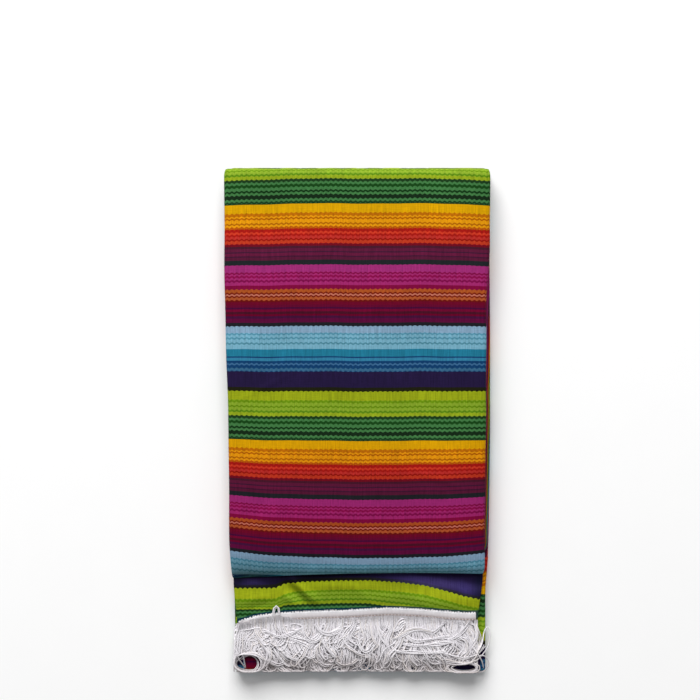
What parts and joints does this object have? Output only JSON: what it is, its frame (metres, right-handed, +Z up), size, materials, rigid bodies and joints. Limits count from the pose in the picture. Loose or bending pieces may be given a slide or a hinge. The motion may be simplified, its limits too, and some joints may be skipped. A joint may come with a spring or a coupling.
{
  "type": "folded striped serape poncho",
  "caption": "Serape poncho folded into a long flat bundle: bright striped cloth with toothed lines, a hem flap with white tape, and a thick mass of looped white fringe.",
  "frame": {"origin": "centre of the bundle's outline on the surface it lies on", "axes": "+Y along the bundle away from the fringe, +X to the right of it as seen from the fringe end, +Z up"},
  "size_m": [0.1893, 0.36, 0.0231],
  "materials": {
    "striped_cloth": "thin matt woven polyester in bright cross stripes with toothed and zigzag lines",
    "folded_cloth": "the same striped cloth, seen as the edges of its folded layers",
    "fringe_yarn": "glossy white rayon-like yarn sewn to a narrow white braid"
  },
  "bodies": {
    "root": {"folded_layers": "folded_cloth", "top_panel": "striped_cloth", "end_flap": "striped_cloth", "under_layer": "folded_cloth", "fringe": "fringe_yarn", "lower_fringe": "fringe_yarn"}
  },
  "joints": []
}
